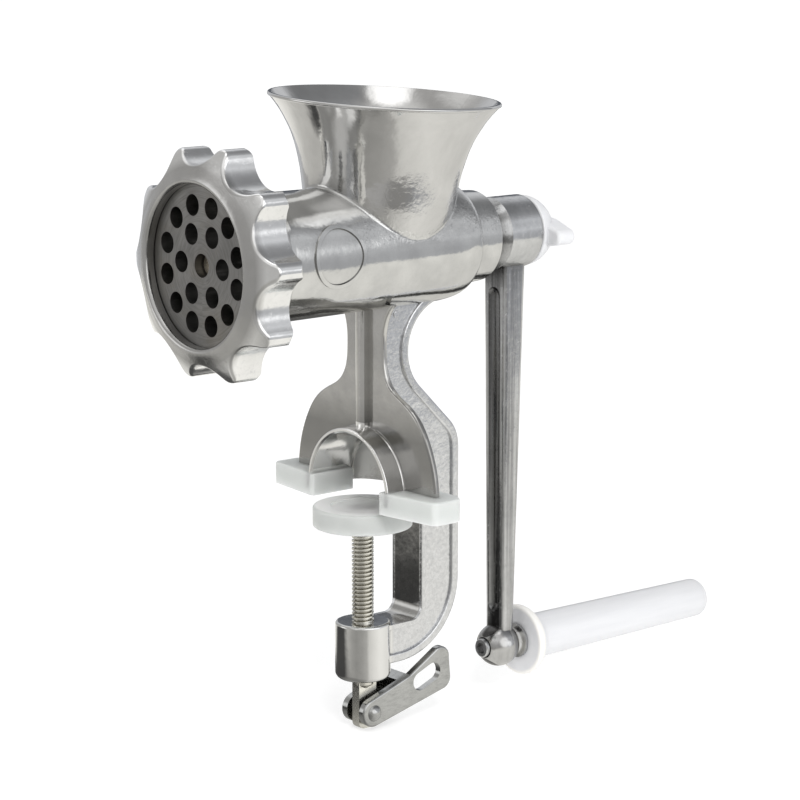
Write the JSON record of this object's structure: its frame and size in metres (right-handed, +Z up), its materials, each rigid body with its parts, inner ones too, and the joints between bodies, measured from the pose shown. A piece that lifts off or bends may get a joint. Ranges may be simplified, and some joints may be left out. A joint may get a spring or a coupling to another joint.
{
  "type": "hand crank meat grinder",
  "caption": "Table-clamped hand meat grinder with a flared hopper, ring nut and perforated plate, feed screw, crank with turning grip, and a screw clamp with folding lever.",
  "frame": {"origin": "on the clamp screw's axis in the plane of the table top, which is the plane of the undersides of the two foot pads", "axes": "+Z up along the clamp screw, +X towards the crank along the feed screw's axis, -X towards the cutting plate, +Y to the left foot pad"},
  "size_m": [0.2487, 0.0916, 0.2316],
  "materials": {
    "cast_aluminium": "polished casting",
    "nut_aluminium": "polished casting",
    "crank_aluminium": "polished casting",
    "auger_aluminium": "satin casting",
    "plate_steel": "dull ground",
    "knife_steel": "ground",
    "pin_steel": "turned",
    "screw_nickel": "nickel plated",
    "lever_steel": "bright plated",
    "fastener_steel": "zinc plated",
    "white_nylon": "smooth moulded",
    "pad_plastic": "slightly cloudy",
    "bush_plastic": "plain moulded"
  },
  "bodies": {
    "frame": {"body_casting": "cast_aluminium", "rear_bush": "bush_plastic", "plate_key_pin": "pin_steel", "foot_pad_left": "pad_plastic", "foot_pad_right": "pad_plastic"},
    "drive": {"auger": "auger_aluminium", "auger_pin": "pin_steel", "cross_knife": "knife_steel", "shoulder_washer": "bush_plastic", "crank_arm": "crank_aluminium", "grip_bolt": "fastener_steel", "grip_washer": "fastener_steel", "grip_lock_nut": "fastener_steel"},
    "grip": {"crank_grip": "white_nylon", "grip_end_plug": "white_nylon"},
    "washer": {"knob_washer": "fastener_steel"},
    "knob": {"thumb_knob": "white_nylon", "thumb_screw": "fastener_steel"},
    "plate": {"cutting_plate": "plate_steel"},
    "nut": {"ring_nut": "nut_aluminium"},
    "disc": {"clamp_disc": "pad_plastic"},
    "screw": {"clamp_screw": "screw_nickel", "disc_snap_ring": "fastener_steel"},
    "lever": {"clamp_lever": "lever_steel", "lever_rivet": "lever_steel"}
  },
  "joints": [
    {"name": "crank_turn", "type": "hinge", "parent": "frame", "child": "drive", "pos_m": [0, 0, 0.092], "axis": [1, 0, 0], "continuous": true},
    {"name": "grip_spin", "type": "hinge", "parent": "drive", "child": "grip", "pos_m": [0.12, 0, -0.0655], "axis": [1, 0, 0], "continuous": true},
    {"name": "knob_washer_slide", "type": "slide", "parent": "drive", "child": "washer", "axis": [1, 0, 0], "range_m": [0, 0.01003]},
    {"name": "knob_turn", "type": "hinge", "parent": "washer", "child": "knob", "pos_m": [0.08, 0, 0.092], "axis": [1, 0, 0], "range_deg": [0, 2880]},
    {"name": "plate_slide", "type": "slide", "parent": "frame", "child": "plate", "axis": [-1, 0, 0], "range_m": [0, 0.00602]},
    {"name": "ring_nut_turn", "type": "hinge", "parent": "plate", "child": "nut", "pos_m": [-0.065, 0, 0.092], "axis": [-1, 0, 0], "range_deg": [0, 720]},
    {"name": "clamp_disc_slide", "type": "slide", "parent": "frame", "child": "disc", "axis": [0, 0, 1], "range_m": [-0.03303, 0]},
    {"name": "clamp_screw_turn", "type": "hinge", "parent": "disc", "child": "screw", "pos_m": [0, 0, -0.05], "axis": [0, 0, 1], "range_deg": [-7920, 0]},
    {"name": "clamp_lever_fold", "type": "hinge", "parent": "screw", "child": "lever", "pos_m": [0.0004, 0, -0.078], "axis": [0, 1, 0], "range_deg": [0, 185]}
  ],
  "couplings": [
    {"joint": "knob_washer_slide", "follows": "knob_turn", "m_per_rad": 0.00019894},
    {"joint": "plate_slide", "follows": "ring_nut_turn", "m_per_rad": 0.00047746},
    {"joint": "clamp_disc_slide", "follows": "clamp_screw_turn", "m_per_rad": 0.00023873}
  ]
}
